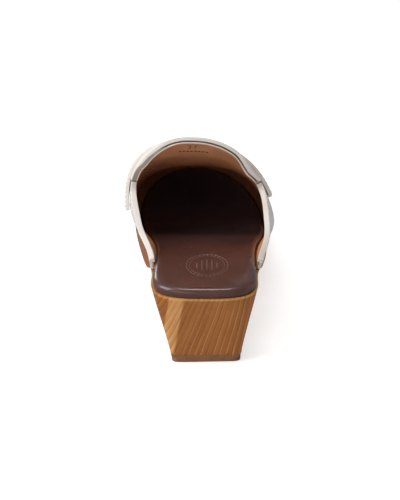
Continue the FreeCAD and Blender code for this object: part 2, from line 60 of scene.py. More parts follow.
OUTER_BULGE = [(20, 2.0), (40, 4.5), (55, 7.6), (68, 8.2), (80, 8.0), (105, 6.9), (130, 5.0), (165, 3.0),
               (260, 1.8)]
FORM_LEAN = [(0, -11.5), (100, -11.5), (130, -9.5), (165, -4.5), (200, -2.0), (260, 0.0)]
FORM_ROUNDNESS, BULGE_REACH = 2.6, 9.0
INSOLE_STACK = 6.0
HEEL_BOTTOM_HALF_WIDTH, HEEL_TOP_HALF_WIDTH, HEEL_TOP_Z, HEEL_BOTTOM_SHIFT = 20.0, 31.4, 44.7, 1.0
HEEL_TAPER_POWER, HEEL_TAPER_LIMIT, HEEL_TAPER_END_Y = 1.25, 1.2, 112.0
HEEL_BACK_INSET, HEEL_BOTTOM_SQUARENESS, HEEL_TURN_DEGREES = 6.0, 11.0, 2.5
BREAST_Y, LIFT_THICKNESS = 54.0, 4.8
SOLE_MARGIN_HEEL, SOLE_MARGIN_FORE, MARGIN_START_Y, MARGIN_END_Y = 1.2, 4.8, 28.0, 58.0
# The outer side of the forepart is cut closer to the leather than the inner side.
OUTER_SIDE_TRIM = 2.8
FORE_UNDERCUT, FORE_UNDERCUT_Z = 16.0, 20.0
TREAD_START_Y, TREAD_END_Y, TREAD_Z = 146.0, 176.0, 3.0
UNDERSIDE = [(57.5, 21.5), (61.0, 26.6), (67.0, 28.0), (78.0, 25.2), (98.0, 16.6), (118.0, 8.6),
             (134.0, 4.2), (TREAD_START_Y, TREAD_Z), (TREAD_END_Y, TREAD_Z), (196.0, 3.9), (215.0, 5.8),
             (236.0, 9.4), (256.0, 13.6)]
LINING_IN, LINING_OUT, LEATHER_IN, LEATHER_OUT, STRAP_IN, STRAP_OUT = 0.15, 0.95, 1.1, 2.8, 3.3, 5.8
BAND_DEPTH, QUARTER_BACK_Y, SIDE_SEAM_Y, THROAT_Y = 2.6, 41.0, 120.0, 106.0
TOPLINE_RISE = [(38, 1.0), (41, 1.6), (52, 4.0), (68, 9.6), (82, 16.4), (95, 24.6), (103, 32.5),
                (108, 40.5), (114, 41.5), (125, 38.0)]
TONGUE_BACK_Y, APRON_BACK_Y, TONGUE_IN, TONGUE_ROLL = 101.5, 121.0, 1.35, 4.2
TONGUE_ROLL_START_Y, TONGUE_ROLL_END_Y = 104.0, 108.5
CURL_INNER, CURL_OUTER, CURL_LENGTH = 3.8, 2.9, 9.0
STRAP_BACK_Y, STRAP_END_BACK_Y, STRAP_FRONT_Y, STRAP_END_FRONT_Y = 113.5, 108.5, 137.0, 131.0
STRAP_OUTER_END, STRAP_INNER_END = 4.0, 185.5
SEAM_OUTER_X = [(100, 32.0), (106, 31.5), (124, 28.5), (145, 25.0), (165, 22.5), (260, 22.5)]
SEAM_INNER_X = [(100, 42.9), (106, 42.6), (124, 37.5), (145, 32.0), (165, 29.0), (260, 29.0)]
SEAM_FRONT_REACH, SEAM_ROUNDNESS, APRON_CORNER = 54.0, 2.3, 42.0
# A station runs along the side wall: FAN either way from the toe tip, then on along each side in y.
FAN = 80.0
EDGE_GAP = 0.25
# The form is found by halving along rays from inside it; these place where the rays start.
HALVINGS, RAY_START_REACH, RAY_START_HEIGHT, RAY_START_LEAN = 28, 0.6, 0.35, 0.5


def table(points, at):
    """Smooth curve through a short table, flat beyond its ends; works on arrays."""
    xs = np.array([p[0] for p in points], float)
    ys = np.array([p[1] for p in points], float)
    low = np.maximum(np.arange(len(xs)) - 1, 0)
    high = np.minimum(np.arange(len(xs)) + 1, len(xs) - 1)
    slopes = (ys[high] - ys[low]) / (xs[high] - xs[low])
    at = np.clip(np.asarray(at, float), xs[0], xs[-1])
    i = np.clip(np.searchsorted(xs, at, side="right") - 1, 0, len(xs) - 2)
    step = xs[i + 1] - xs[i]
    u = (at - xs[i]) / step
    return (ys[i] * (2 * u ** 3 - 3 * u ** 2 + 1) + ys[i + 1] * (3 * u ** 2 - 2 * u ** 3)
            + slopes[i] * step * (u ** 3 - 2 * u ** 2 + u) + slopes[i + 1] * step * (u ** 3 - u ** 2))


def bed_z(y):
    return table(FOOT_BED_Z, y)


def middle_x(y):
    ahead = np.maximum(y - TOE_CENTRE_Y, 0) / (TOE_TIP_Y - TOE_CENTRE_Y)
    return -TOE_INWARD_SHIFT * ahead ** TOE_INWARD_POWER


def form_value(p):
    """Below 1 inside the foot form, 1 on its skin."""
    x, y, z = p[..., 0], p[..., 1], p[..., 2]
    rise = z - bed_z(y)
    level = np.maximum(rise, 0) / table(FORM_HEIGHT, y)
    across = x - middle_x(y) - table(FORM_LEAN, y) * level
    bulge = np.where(across > 0, table(OUTER_BULGE, y), table(INNER_BULGE, y))
    bulge = bulge * (1 - np.exp(-(np.maximum(rise + INSOLE_STACK, 0) / BULGE_REACH) ** 2))
    width = np.where(across > 0, table(OUTER_HALF_WIDTH, y), table(INNER_HALF_WIDTH, y))
    side = np.abs(across) / (width + bulge)
    ahead = np.maximum(y - TOE_CENTRE_Y, 0) / (TOE_TIP_Y - TOE_CENTRE_Y + bulge)
    plan = (side ** TOE_ROUNDNESS + ahead ** TOE_ROUNDNESS) ** (1 / TOE_ROUNDNESS)
    return (plan ** FORM_ROUNDNESS + level ** FORM_ROUNDNESS) ** (1 / FORM_ROUNDNESS)


def cross_skin(position, shape, limit=110.0):
    """Points where position(reach) leaves the form, for an array of rays."""
    low = np.zeros(shape)
    high = np.full(shape, limit)
    for _ in range(HALVINGS):
        middle = (low + high) / 2
        inside = form_value(position(middle)) < 1
        low = np.where(inside, middle, low)
        high = np.where(inside, high, middle)
    return position((low + high) / 2)


def outward(p):
    """Unit normals of the form at points of its skin."""
    step = 0.02
    slopes = []
    for axis in range(3):
        shift = np.zeros(3)
        shift[axis] = step
        slopes.append(form_value(p + shift) - form_value(p - shift))
    n = np.stack(slopes, -1)
    return n / np.linalg.norm(n, axis=-1, keepdims=True)


def wall_foot(station):
    """Plan origin and direction of the ray that meets the wall at each station."""
    turn = np.pi / 2 * np.clip(station / FAN, -1, 1)
    y = TOE_CENTRE_Y - np.maximum(np.abs(station) - FAN, 0)
    return np.zeros_like(station), y, np.sin(turn), np.cos(turn) * (np.abs(station) < FAN)


def wall_point(station, rise):
    """Points of the side wall at a rise above the foot bed."""
    fx, fy, hx, hy = wall_foot(station)

    def position(reach):
        y = fy + reach * hy
        return np.stack([fx + reach * hx, y, bed_z(y) + rise], -1)

    return cross_skin(position, station.shape)


def station_of(side, y):
    return side * (FAN + TOE_CENTRE_Y - y)


def y_of(station):
    return TOE_CENTRE_Y + FAN - np.abs(station)


def seam_plan(station):
    """Plan of the seam between the side wall and the top panels."""
    width = np.where(station > 0, table(SEAM_OUTER_X, y_of(station)), table(SEAM_INNER_X, y_of(station)))
    fan_width = np.where(station > 0, SEAM_OUTER_X[-1][1], SEAM_INNER_X[-1][1])
    turn = np.pi / 2 * np.clip(station / FAN, -1, 1)
    across = np.abs(np.sin(turn)) / fan_width
    ahead = np.cos(turn) / SEAM_FRONT_REACH
    reach = (across ** SEAM_ROUNDNESS + np.abs(ahead) ** SEAM_ROUNDNESS) ** (-1 / SEAM_ROUNDNESS)
    side = np.abs(station) > FAN
    x = np.where(side, np.sign(station) * width, reach * np.sin(turn))
    y = np.where(side, y_of(station), TOE_CENTRE_Y + reach * np.cos(turn))
    return x, y


def drop_point(x, y):
    """Points of the form's top above plan points."""
    def position(height):
        return np.stack([x, y, bed_z(y) + height], -1)

    return cross_skin(position, np.shape(x), 80.0)


def seam_rise(station):
    p = drop_point(*seam_plan(station))
    return p[..., 2] - bed_z(p[..., 1])


def smooth(low, high, at):
    share = np.clip((at - low) / (high - low), 0, 1)
    return share * share * (3 - 2 * share)


def topline(station):
    """Rise of the quarters' top edge: free behind the throat, on the seam ahead of it."""
    y = y_of(station)
    blend = smooth(THROAT_Y - 5, THROAT_Y, y)
    return table(TOPLINE_RISE, y) * (1 - blend) + seam_rise(station) * blend


def wall_grid(first, last, bottom, top, columns, rows):
    """Points of a wall patch; bottom and top give the rise at an array of stations."""
    station = np.linspace(first, last, columns)
    fx, fy, hx, hy = wall_foot(station)
    base = wall_point(station, np.zeros_like(station))
    ox = fx + (base[:, 0] - fx) * RAY_START_REACH
    oy = fy + (base[:, 1] - fy) * RAY_START_REACH
    oz = bed_z(oy) + RAY_START_HEIGHT * table(FORM_HEIGHT, oy)
    slopes = []
    for rise in (bottom(station), top(station)):
        end = wall_point(station, rise)
        slopes.append(np.arctan2(end[:, 2] - oz, (end[:, 0] - ox) * hx + (end[:, 1] - oy) * hy))
    v = np.linspace(0, 1, rows)[None, :]
    slope = slopes[0][:, None] + (slopes[1] - slopes[0])[:, None] * v

    def position(reach):
        flat = reach * np.cos(slope)
        return np.stack([ox[:, None] + flat * hx[:, None], oy[:, None] + flat * hy[:, None],
                         oz[:, None] + reach * np.sin(slope)], -1)

    return cross_skin(position, slope.shape)


def arch_grid(back, front, start, end, columns, rows):
    """Points of a band over the form; back and front give its edges in y at angles in degrees."""
    degrees = np.linspace(start, end, columns)
    share = np.linspace(0, 1, rows)[None, :]
    y = back(degrees)[:, None] + (front(degrees) - back(degrees))[:, None] * share
    turn = np.radians(degrees)[:, None] + 0 * y
    cx = table(FORM_LEAN, y) * RAY_START_LEAN
    cz = bed_z(y) + RAY_START_HEIGHT * table(FORM_HEIGHT, y)

    def position(reach):
        return np.stack([cx + reach * np.cos(turn), y, cz + reach * np.sin(turn)], -1)

    return cross_skin(position, y.shape)


def tongue_grid(back, front, columns, rows, span=(0, 1)):
    """Points between the seams; the two corners of the rear edge curl inward."""
    y = np.linspace(back, front, rows)[None, :] + np.zeros((columns, 1))
    u = np.linspace(*span, columns)[:, None]
    left, right = -table(SEAM_INNER_X, y), table(SEAM_OUTER_X, y)
    p = drop_point(left + (right - left) * u, y)
    side = np.abs(2 * u - 1) + 0 * y
    depth = np.where(u > 0.5, CURL_OUTER * smooth(0.6, 0.9, side), CURL_INNER * smooth(0.15, 0.8, side))
    depth = depth * (1 - 0.75 * smooth(0.88, 1.0, side))
    depth = depth * np.clip(1 - (y - TONGUE_BACK_Y) / CURL_LENGTH, 0, 1) ** 2
    return p - outward(p) * depth[..., None]


def tongue_roll(grid):
    """The padded rear edge: extra thickness of the tongue, fading toward the strap."""
    fade = 1 - smooth(TONGUE_ROLL_START_Y, TONGUE_ROLL_END_Y, grid[..., 1])
    return LEATHER_OUT + (TONGUE_ROLL - LEATHER_OUT) * fade


def apron_grid(columns, rows):
    """Patch with the seam on three sides and a straight rear edge."""
    rear = station_of(1, APRON_BACK_Y + EDGE_GAP)
    u = np.linspace(0, 1, columns)[:, None]
    v = np.linspace(0, 1, rows)[None, :]
    left = seam_plan(-rear + (rear - APRON_CORNER) * v)
    right = seam_plan(rear - (rear - APRON_CORNER) * v)
    front = seam_plan(-APRON_CORNER + 2 * APRON_CORNER * u)
    ends = [seam_plan(np.array([s])) for s in (-rear, rear, -APRON_CORNER, APRON_CORNER)]
    place = []
    for axis in (0, 1):
        e = [end[axis][0] for end in ends]
        back_line = e[0] + (e[1] - e[0]) * u
        front_line = e[2] + (e[3] - e[2]) * u
        sides = left[axis] + (right[axis] - left[axis]) * u + back_line + (front[axis] - back_line) * v
        place.append(sides - (back_line + (front_line - back_line) * v))
    return drop_point(*place)


# ---- mesh helpers -----------------------------------------------------------
def make(name, verts, faces, material, replaces=(), bevel=0.0, bevel_angle=35, subdivide=0,
         weighted=False):
    """A mesh piece from working millimetres, riding on the one body."""
    mesh = bpy.data.meshes.new(name)
    mesh.from_pydata([tuple((Vector(v) - CENTRE) * MM) for v in verts], [], faces)
    bm = bmesh.new()
    bm.from_mesh(mesh)
    bmesh.ops.remove_doubles(bm, verts=bm.verts, dist=1e-6)
    bmesh.ops.dissolve_degenerate(bm, edges=bm.edges, dist=1e-7)
    bmesh.ops.recalc_face_normals(bm, faces=bm.faces)
    for face in bm.faces:
        face.smooth = True
    bm.to_mesh(mesh)
    bm.free()
    piece = bpy.data.objects.new(name, mesh)
    bpy.context.scene.collection.objects.link(piece)
    mesh.materials.append(material)
    if bevel:
        edge = piece.modifiers.new("edge", "BEVEL")
        edge.width = bevel * MM
        edge.segments = 3
        edge.limit_method = "ANGLE"
        edge.angle_limit = math.radians(bevel_angle)
    if subdivide:
        smoother = piece.modifiers.new("smooth", "SUBSURF")
        smoother.levels = smoother.render_levels = subdivide
    if weighted:
        normals = piece.modifiers.new("normals", "WEIGHTED_NORMAL")
        normals.keep_sharp = True
    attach(piece, "root")
    if replaces:
        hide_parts(*replaces)
    return piece


def grid_faces(columns, rows, start=0, flip=False):
    faces = []
    for i in range(columns - 1):
        for j in range(rows - 1):
            a = start + i * rows + j
            face = (a, a + rows, a + rows + 1, a + 1)
            faces.append(face[::-1] if flip else face)
    return faces


def leather(name, grid, inner, outer, material, replaces=(), bevel=0.6):
    """Closed sheet over a patch of the form, between two offsets; the outer one may vary."""
    columns, rows = grid.shape[:2]
    count = columns * rows
    normals = outward(grid)
    low = (grid + normals * inner).reshape(-1, 3)
    high = (grid + normals * np.broadcast_to(outer, (columns, rows))[..., None]).reshape(-1, 3)
    faces = grid_faces(columns, rows) + grid_faces(columns, rows, count, True)
    rim = [i * rows for i in range(columns)] + [(columns - 1) * rows + j for j in range(1, rows)]
    rim += [i * rows + rows - 1 for i in range(columns - 2, -1, -1)] + list(range(rows - 2, 0, -1))
    for a, b in zip(rim, rim[1:] + rim[:1]):
        faces.append((a, b, b + count, a + count))
    return make(name, np.vstack([low, high]), faces, material, replaces, bevel, bevel_angle=50,
                subdivide=2)


def tube(path, radius, sides, up=None):
    """Vertices and faces of a round bar; up points across it, and is the form's normal if not given."""
    path = np.asarray(path, float)
    count = len(path)
    tangent = np.gradient(path, axis=0)
    tangent /= np.linalg.norm(tangent, axis=1, keepdims=True)
    across = np.cross(tangent, outward(path) if up is None else np.broadcast_to(up, path.shape))
    across /= np.linalg.norm(across, axis=1, keepdims=True)
    up = np.cross(across, tangent)
    radius = np.broadcast_to(np.asarray(radius, float), (count,))[:, None]
    turns = [2 * math.pi * k / sides for k in range(sides)]
    verts = [path + (across * math.cos(turn) + up * math.sin(turn)) * radius for turn in turns]
    faces = []
    for i in range(count - 1):
        for k in range(sides):
            a, b = i * sides + k, i * sides + (k + 1) % sides
            faces.append((a, b, b + sides, a + sides))
    faces.append(tuple(range(sides))[::-1])
    faces.append(tuple((count - 1) * sides + k for k in range(sides)))
    return np.stack(verts, 1).reshape(-1, 3), faces


def join_parts(parts):
    verts, faces, start = [], [], 0
    for part_verts, part_faces in parts:
        verts.append(part_verts)
        faces += [tuple(start + k for k in face) for face in part_faces]
        start += len(part_verts)
    return np.vstack(verts), faces


def resample(path, spacing):
    """Evenly spaced points along a path, ends included."""
    path = np.asarray(path, float)
    lengths = np.concatenate([[0], np.cumsum(np.linalg.norm(np.diff(path, axis=0), axis=1))])
    count = max(int(lengths[-1] / spacing), 1)
    marks = np.linspace(0, lengths[-1], count + 1)
    return np.stack([np.interp(marks, lengths, path[:, k]) for k in range(3)], 1)


def steps_along(path, pitch):
    """Middle and direction of each even step along a path."""
    marks = resample(path, pitch)
    return [((a + b) / 2, (b - a) / np.linalg.norm(b - a)) for a, b in zip(marks[:-1], marks[1:])]


def stitches(name, path, pitch=3.0, length=2.1, radius=0.28, sink=0.12):
    """A row of sewn stitches: short rounded bars that dip at both ends."""
    t = np.linspace(-1, 1, 7)
    dip = radius * 0.55 - sink - radius * 1.1 * t ** 4
    thin = radius * np.sqrt(np.clip(1.02 - t ** 6, 0.05, 1))
    parts = []
    for middle, along in steps_along(path, pitch):
        bar = middle + along * (t * length / 2)[:, None]
        normals = outward(bar)
        parts.append(tube(bar + normals * dip[:, None], thin, 6, normals))
    verts, faces = join_parts(parts)
    return make(name, verts, faces, THREAD)


# ---- materials --------------------------------------------------------------
class Recipe:
    """The node tree of one material, with short names for the steps the materials share."""

    def __init__(self, name, base, rough, **sockets):
        self.material = bpy.data.materials.new(name)
        self.material.use_nodes = True
        self.nodes, self.links = self.material.node_tree.nodes, self.material.node_tree.links
        self.inputs = self.nodes["Principled BSDF"].inputs
        self.inputs["Base Color"].default_value = (*base, 1)
        self.inputs["Roughness"].default_value = rough
        for key, value in sockets.items():
            self.inputs[key.replace("_", " ")].default_value = value

    def node(self, kind, **settings):
        made = self.nodes.new(kind)
        for key, value in settings.items():
            if key in made.inputs:
                made.inputs[key].default_value = value
            else:
                setattr(made, key, value)
        return made

    def feed(self, socket, value):
        self.links.new(value, self.inputs[socket])

    def place(self):
        return self.nodes.new("ShaderNodeTexCoord").outputs["Object"]

    def split(self, where):
        made = self.nodes.new("ShaderNodeSeparateXYZ")
        self.links.new(where, made.inputs[0])
        return made.outputs

    def mapped(self, where, **settings):
        made = self.node("ShaderNodeMapping", **settings)
        self.links.new(where, made.inputs["Vector"])
        return made.outputs[0]

    def texture(self, kind, where, output, **settings):
        made = self.node(kind, **settings)
        self.links.new(where, made.inputs["Vector"])
        return made.outputs[output]

    def noise(self, where, scale, detail=3.0, rough=0.5):
        return self.texture("ShaderNodeTexNoise", where, "Fac", Scale=scale, Detail=detail, Roughness=rough)

    def maths(self, operation, a, b=None, clamp=False):
        made = self.node("ShaderNodeMath", operation=operation, use_clamp=clamp)
        for socket, value in zip(made.inputs, (a, b)):
            if isinstance(value, (int, float)):
                socket.default_value = value
            elif value is not None:
                self.links.new(value, socket)
        return made.outputs[0]

    def add(self, a, b, clamp=False):
        return self.maths("ADD", a, b, clamp)

    def subtract(self, a, b, clamp=False):
        return self.maths("SUBTRACT", a, b, clamp)

    def multiply(self, a, b, clamp=False):
        return self.maths("MULTIPLY", a, b, clamp)

    def ramp(self, source, stops):
        made = self.nodes.new("ShaderNodeValToRGB")
        elements = made.color_ramp.elements
        while len(elements) < len(stops):
            elements.new(0.5)
        for element, (place, colour) in zip(elements, stops):
            element.position = place
            element.color = (*colour, 1)
        self.links.new(source, made.inputs[0])
        return made.outputs[0]

    def bump(self, height, strength, distance, under=None):
        made = self.node("ShaderNodeBump", Strength=strength, Distance=distance)
        self.links.new(height, made.inputs["Height"])
        if under is not None:
            self.links.new(under, made.inputs["Normal"])
        return made.outputs[0]


def leather_recipe(name, light, dark, rough, rough_spread=0.1, grain=900.0, depth=0.00012, **sockets):
    """Smooth hide: cloudy colour, fine pebble grain and pores."""
    hide = Recipe(name, light, rough, **sockets)
    where = hide.place()
    cloud = hide.noise(where, 38.0, 5.0, 0.6)
    cells = hide.texture("ShaderNodeTexVoronoi", where, "Distance", Scale=grain, feature="DISTANCE_TO_EDGE")
    pores = hide.noise(where, grain * 1.7, 2.0)
    height = hide.add(hide.multiply(cells, 3.0, True), hide.multiply(pores, 0.5))
    wide = hide.noise(where, 120.0, 3.0)
    spread = hide.multiply(hide.subtract(wide, 0.5), rough_spread * 2)
    hide.feed("Base Color", hide.ramp(cloud, [(0.35, dark), (0.62, light)]))
    hide.feed("Normal", hide.bump(height, 0.35, depth, hide.bump(wide, 0.25, 0.0006)))
    hide.feed("Roughness", hide.add(spread, rough))
    return hide


def leather_material(*look, **settings):
    return leather_recipe(*look, **settings).material


# Where the painted shade on the foot bed starts, under the upper, in metres.
SHADE_START_Y = -0.055


def foot_bed_material():
    """Brown hide with painted shade: it turns nearly black, and a little blue, where it runs under the
    upper.
    """
    hide = leather_recipe("brown_leather", (0.1, 0.036, 0.028), (0.07, 0.025, 0.02), 0.38, 0.12,
                          grain=1100.0, depth=0.00008, Coat_Weight=0.7, Coat_Roughness=0.12)
    ahead = hide.add(hide.split(hide.place())[1], -SHADE_START_Y)
    # Painted shade: a dark, slightly blue colour is blended in ahead of SHADE_START_Y.
    shade = hide.ramp(hide.multiply(ahead, 9.0, True),
                      [(0.4, (0.042, 0.03, 0.036)), (1.0, (0.13, 0.12, 0.19))])
    mix = hide.node("ShaderNodeMix", data_type="RGBA")
    hide.links.new(hide.multiply(ahead, 20.0, True), mix.inputs["Factor"])
    hide.links.new(hide.inputs["Base Color"].links[0].from_socket, mix.inputs[6])
    hide.links.new(shade, mix.inputs[7])
    hide.feed("Base Color", mix.outputs[2])
    return hide.material


# The wood's figure, in metres: rings stand on edge, lean and fan about a height, and turn at the sides.
RING_MIDDLE_Z, RING_LEAN, RING_FAN, RINGS_PER_METRE, RING_DRIFT = 0.025, 0.33, 6.0, 290.0, 0.04
SIDE_START_Y, SIDE_TILT = -0.112, -0.7
SAPWOOD_LEFT, SAPWOOD_RIGHT, SAPWOOD_LEAN = -0.0215, -0.0115, 0.16
# Height above which the wood's top rim is painted lighter, as a highlight.
PAINTED_HIGHLIGHT_RIM_Z = 0.0433
WOOD_TONES = [(0.2, (0.15, 0.038, 0.005)), (0.42, (0.27, 0.082, 0.012)), (0.6, (0.37, 0.13, 0.022)),
              (0.9, (0.6, 0.3, 0.1))]


def wood_material():
    """Varnished wood: growth rings, a stripe of sapwood, streaks along the grain and a painted highlight
    along the top rim.
    """
    wood = Recipe("varnished_wood", (0.4, 0.19, 0.07), 0.34, Coat_Weight=0.35, Coat_Roughness=0.16,
                  Specular_IOR_Level=0.3)
    where = wood.place()
    x, y, z = wood.split(where)
    warp = wood.noise(wood.mapped(where, Scale=(1.0, 0.18, 1.0)), 26.0, 3.0, 0.55)
    rise = wood.subtract(z, RING_MIDDLE_Z)
    fan = wood.subtract(1.0, wood.multiply(rise, RING_FAN))
    across = wood.maths("DIVIDE", wood.subtract(x, wood.multiply(rise, RING_LEAN)), fan)
    beside = wood.multiply(wood.add(y, -SIDE_START_Y), 80.0, True)
    across = wood.add(across, wood.multiply(wood.multiply(rise, SIDE_TILT), beside))
    across = wood.add(wood.add(across, wood.multiply(y, RING_DRIFT)), wood.multiply(warp, 0.0024))
    rings = wood.maths("FRACT", wood.multiply(across, RINGS_PER_METRE))
    thin = wood.maths("GREATER_THAN", rings, 0.86)
    late = wood.subtract(wood.maths("POWER", rings, 2.0), wood.multiply(thin, 1.35))
    grain = wood.node("ShaderNodeCombineXYZ")
    for axis, value in enumerate((across, wood.multiply(y, 0.015), wood.multiply(z, 0.03))):
        wood.links.new(value, grain.inputs[axis])
    grain = grain.outputs[0]
    bands = wood.noise(grain, 520.0, 3.0, 0.65)
    late = wood.multiply(late, wood.multiply(bands, 1.6))
    hairs = wood.noise(wood.mapped(grain, Location=(0.37, 0.0, 0.0)), 2300.0, 2.0, 0.7)
    sap = wood.subtract(x, wood.multiply(rise, SAPWOOD_LEAN))
    pale = wood.multiply(wood.multiply(wood.add(sap, -SAPWOOD_LEFT), 1100.0, True),
                         wood.multiply(wood.subtract(SAPWOOD_RIGHT, sap), 700.0, True))
    streak = wood.noise(wood.mapped(where, Scale=(1.0, 0.03, 1.0)), 1600.0, 2.0, 0.6)
    cloud = wood.noise(where, 30.0, 4.0, 0.6)
    # Painted highlight: the wood lightens toward its top rim.
    rim = wood.multiply(wood.subtract(z, PAINTED_HIGHLIGHT_RIM_Z), 1300.0, True)
    tone = wood.multiply(late, -0.26)
    for part, share in ((bands, 0.5), (cloud, 0.3), (streak, 0.2), (pale, 0.3), (hairs, 0.22), (rim, 0.3)):
        tone = wood.add(tone, wood.multiply(part, share))
    wood.feed("Base Color", wood.ramp(wood.subtract(tone, 0.1, True), WOOD_TONES))
    wood.feed("Roughness", wood.add(wood.multiply(streak, 0.14), 0.27))
    wood.feed("Normal", wood.bump(wood.add(streak, wood.multiply(late, -0.6)), 0.2, 0.00015))
    return wood.material


def rubber_material(name, light, dark, rough):
    """Matt rubber: cloudy colour with fine grit."""
    rubber = Recipe(name, light, rough)
    where = rubber.place()
    cloud = rubber.noise(where, 160.0, 5.0, 0.7)
    grit = rubber.noise(where, 1500.0, 3.0, 0.7)
    rubber.feed("Base Color", rubber.ramp(cloud, [(0.3, dark), (0.7, light)]))
    rubber.feed("Normal", rubber.bump(grit, 0.4, 0.0002))
    rubber.feed("Roughness", rubber.add(rubber.multiply(cloud, 0.2), rough - 0.1))
    return rubber.material


def steel_material():
    """Nail heads dulled by walking: patchy colour, scuffs and fine pits."""
    steel = Recipe("nail_steel", (0.5, 0.48, 0.45), 0.38, Metallic=1.0)
    spots = steel.noise(steel.place(), 700.0, 4.0, 0.7)
    steel.feed("Base Color", steel.ramp(spots, [(0.35, (0.34, 0.3, 0.26)), (0.6, (0.5, 0.48, 0.45))]))
    steel.feed("Roughness", steel.add(steel.multiply(spots, 0.3), 0.22))
    steel.feed("Normal", steel.bump(spots, 0.3, 0.0001))
    return steel.material


def thread_material(name, colour, dark):
    """Twisted sewing thread."""
    thread = Recipe(name, colour, 0.7)
    twist = thread.texture("ShaderNodeTexWave", thread.place(), "Fac", Scale=900.0, Distortion=2.0)
    thread.feed("Base Color", thread.ramp(twist, [(0.2, dark), (0.7, colour)]))
    thread.feed("Normal", thread.bump(twist, 0.4, 0.0001))
    return thread.material


WHITE = leather_material("white_leather", (0.74, 0.72, 0.7), (0.67, 0.65, 0.63), 0.42, Coat_Weight=0.12,
                         Coat_Roughness=0.3)
STRAP = leather_material("strap_leather", (0.76, 0.7, 0.64), (0.69, 0.62, 0.56), 0.44, Coat_Weight=0.1,
                         Coat_Roughness=0.3)
CREAM = leather_material("cream_edge", (0.82, 0.76, 0.7), (0.74, 0.66, 0.59), 0.5)
PALE = leather_material("pale_edge", (0.74, 0.6, 0.5), (0.62, 0.47, 0.37), 0.55)
# Dark leather standing for the shade in the groove under the tongue and in the gaps at its corners: painted
# shade.
GROOVE_PAINTED_SHADE = leather_material("groove_leather_painted_shade", (0.2, 0.15, 0.11), (0.13, 0.09, 0.065), 0.75)
# A darker copy of the white leather: painted shade on the underside of the tongue's fold.
FOLD_PAINTED_SHADE = leather_material("fold_leather_painted_shade", (0.33, 0.27, 0.23), (0.22, 0.17, 0.145), 0.65)
TAN = leather_material("tan_lining", (0.64, 0.29, 0.14), (0.48, 0.21, 0.1), 0.6, grain=1300.0,
                       Specular_IOR_Level=0.2)
BROWN = foot_bed_material()
WOOD = wood_material()
LIFT = rubber_material("lift_rubber", (0.27, 0.115, 0.042), (0.18, 0.075, 0.028), 0.6)
OUTSOLE = rubber_material("outsole_rubber", (0.14, 0.075, 0.035), (0.09, 0.045, 0.02), 0.7)
STEEL = steel_material()
THREAD = thread_material("cream_thread", (0.74, 0.68, 0.6), (0.5, 0.44, 0.37))
INK = rubber_material("stamp_ink", (0.038, 0.02, 0.013), (0.03, 0.015, 0.01), 0.6)
EMBOSS = leather_material("brown_emboss", (0.34, 0.24, 0.21), (0.12, 0.07, 0.06), 0.4)


# ---- sole and foot bed ------------------------------------------------------
def sole_margin(y):
    return SOLE_MARGIN_HEEL + (SOLE_MARGIN_FORE - SOLE_MARGIN_HEEL) * smooth(MARGIN_START_Y, MARGIN_END_Y, y)


def heel_inset(side, z):
    """How far one side of the heel block draws in at a height; the bottom sits a little outward."""
    share = np.clip(z / HEEL_TOP_Z, 0, HEEL_TAPER_LIMIT)
    inset = (HEEL_TOP_HALF_WIDTH - HEEL_BOTTOM_HALF_WIDTH) * (1 - share ** HEEL_TAPER_POWER)
    return inset - side * HEEL_BOTTOM_SHIFT * (1 - np.clip(share, 0, 1))


def undercut(z):
    """How far the side of the forepart draws in toward the ground."""
    return FORE_UNDERCUT * np.clip(1 - z / FORE_UNDERCUT_Z, 0, 1) ** 2


# How finely the wood and the foot bed are divided, up their sides and across.
SOLE_LEVELS, SOLE_ACROSS, BED_ACROSS = 22, 15, 27
# The underside takes its plan a little above the ground.
UNDERSIDE_PLAN_Z = 5.0
# Columns along each side, closest where the breast of the heel turns up into the arch.
BREAST_STEPS = [BREAST_Y, 54.9, 55.8, 56.7, 57.5]
HEEL_STEPS, FORE_STEPS = np.linspace(24, 53, 14), np.linspace(59, 165, 48)
SIDE_Y = sorted(set(np.round(np.concatenate([HEEL_STEPS, BREAST_STEPS, FORE_STEPS]), 3)))


